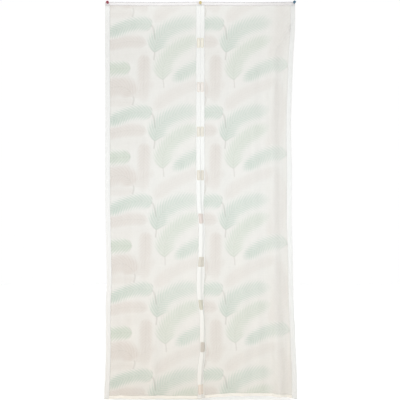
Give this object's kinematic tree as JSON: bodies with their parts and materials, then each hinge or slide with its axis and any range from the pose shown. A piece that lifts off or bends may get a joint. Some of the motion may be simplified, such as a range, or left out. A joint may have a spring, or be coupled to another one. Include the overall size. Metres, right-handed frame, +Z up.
{
  "type": "magnetic door screen with push pins",
  "caption": "Sheer leaf-print door screen in halves that meet at magnet pockets, with white edge tapes and a heading strip that push pins hold to a door frame.",
  "frame": {"origin": "middle of the heading's top edge, on the back face that lies against the door frame", "axes": "+Z up along the long edges, +Y towards the door frame, +X to the right for a viewer who faces the screen"},
  "size_m": [1.0174, 0.0351, 2.1046],
  "materials": {
    "printed_sheer": "sheer polyester voile with a printed leaf and feather pattern in pale green and taupe",
    "white_tape": "white woven polyester tape, folded and sewn",
    "magnet_pocket": "beige woven pocket sewn over a flat magnet",
    "pin_red": "glossy red moulded plastic",
    "pin_yellow": "glossy yellow moulded plastic",
    "pin_blue": "glossy blue moulded plastic",
    "pin_steel": "plated steel needle"
  },
  "bodies": {
    "root": {"left_panel": "printed_sheer", "right_panel": "printed_sheer", "heading": "white_tape", "left_border": "white_tape", "right_border": "white_tape", "left_closing_tape": "white_tape", "right_closing_tape": "white_tape", "left_hem_binding": "white_tape", "right_hem_binding": "white_tape", "left_magnet_1": "magnet_pocket", "left_magnet_2": "magnet_pocket", "left_magnet_3": "magnet_pocket", "left_magnet_4": "magnet_pocket", "left_magnet_5": "magnet_pocket", "left_magnet_6": "magnet_pocket", "left_magnet_7": "magnet_pocket", "left_magnet_8": "magnet_pocket", "left_magnet_9": "magnet_pocket", "right_magnet_1": "magnet_pocket", "right_magnet_2": "magnet_pocket", "right_magnet_3": "magnet_pocket", "right_magnet_4": "magnet_pocket", "right_magnet_5": "magnet_pocket", "right_magnet_6": "magnet_pocket", "right_magnet_7": "magnet_pocket", "right_magnet_8": "magnet_pocket", "right_magnet_9": "magnet_pocket", "red_pin_head": "pin_red", "yellow_pin_head": "pin_yellow", "blue_pin_head": "pin_blue", "red_pin_needle": "pin_steel", "yellow_pin_needle": "pin_steel", "blue_pin_needle": "pin_steel"}
  },
  "joints": []
}
